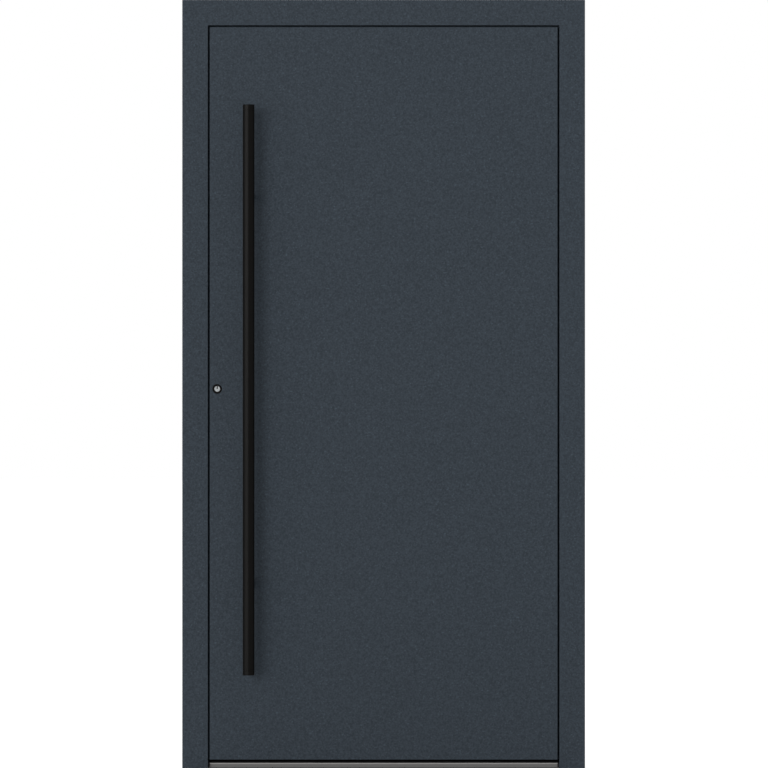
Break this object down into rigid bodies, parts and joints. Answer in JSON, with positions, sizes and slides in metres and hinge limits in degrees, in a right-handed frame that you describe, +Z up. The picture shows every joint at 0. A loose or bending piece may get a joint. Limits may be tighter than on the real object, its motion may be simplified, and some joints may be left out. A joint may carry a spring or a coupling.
{
  "type": "aluminium front door",
  "caption": "Flush aluminium front door with a long round pull bar, round lock and hidden-side hinges, in its frame.",
  "frame": {"origin": "underside of the threshold, midway between the jambs and in mid-depth of the frame", "axes": "+Z up, +Y towards the inside of the building, +X towards the hinge side"},
  "size_m": [1.1, 0.2225, 2.1],
  "materials": {
    "anthracite_coat": "fine-texture matt powder coat",
    "black_coat": "satin black powder coat",
    "hinge_coat": "fine-texture matt powder coat",
    "threshold_metal": "anodised, lightly brushed",
    "cylinder_metal": "matt nickel",
    "lock_steel": "brushed stainless",
    "seal_rubber": "matt",
    "black_plastic": "matt",
    "foam": "matt"
  },
  "bodies": {
    "frame": {"hinge_jamb_outer_shell": "anthracite_coat", "hinge_jamb_insulation": "black_plastic", "hinge_jamb_inner_shell": "anthracite_coat", "hinge_jamb_stop_gasket": "seal_rubber", "hinge_jamb_inner_gasket": "seal_rubber", "lock_jamb_outer_shell": "anthracite_coat", "lock_jamb_insulation": "black_plastic", "lock_jamb_inner_shell": "anthracite_coat", "lock_jamb_stop_gasket": "seal_rubber", "lock_jamb_inner_gasket": "seal_rubber", "head_outer_shell": "anthracite_coat", "head_insulation": "black_plastic", "head_inner_shell": "anthracite_coat", "head_stop_gasket": "seal_rubber", "head_inner_gasket": "seal_rubber", "latch_strike": "lock_steel", "bolt_strikes": "lock_steel", "threshold_outer_rail": "threshold_metal", "threshold_core": "black_plastic", "threshold_inner_rail": "threshold_metal", "threshold_end_blocks": "black_plastic", "hinge_pins": "hinge_coat", "bottom_hinge_frame_half": "hinge_coat", "middle_hinge_frame_half": "hinge_coat", "top_hinge_frame_half": "hinge_coat"},
    "leaf": {"leaf_hinge_stile": "anthracite_coat", "leaf_lock_stile": "anthracite_coat", "leaf_top_rail": "anthracite_coat", "leaf_bottom_rail": "anthracite_coat", "leaf_insulation": "black_plastic", "leaf_core": "foam", "leaf_outer_skin": "anthracite_coat", "leaf_inner_skin": "anthracite_coat", "leaf_bottom_seal": "seal_rubber", "lock_faceplate": "lock_steel", "lock_bolts": "lock_steel", "lock_cylinder": "black_coat", "cylinder_ring": "black_coat", "cylinder_rosette": "black_coat", "lever_rosette": "black_coat", "lever_handle": "black_coat", "pull_bar": "black_coat", "pull_bar_standoffs": "black_coat", "bottom_hinge_leaf_half": "hinge_coat", "middle_hinge_leaf_half": "hinge_coat", "top_hinge_leaf_half": "hinge_coat"},
    "lock_plug": {"lock_plug": "cylinder_metal"}
  },
  "joints": [
    {"name": "leaf_swing", "type": "hinge", "parent": "frame", "child": "leaf", "pos_m": [0.5075, 0.051, 1.05], "axis": [0, 0, -1], "range_deg": [0, 105]},
    {"name": "lock_plug_turn", "type": "hinge", "parent": "leaf", "child": "lock_plug", "pos_m": [-0.4545, -0.04, 1.037], "axis": [0, 1, 0], "continuous": true}
  ]
}
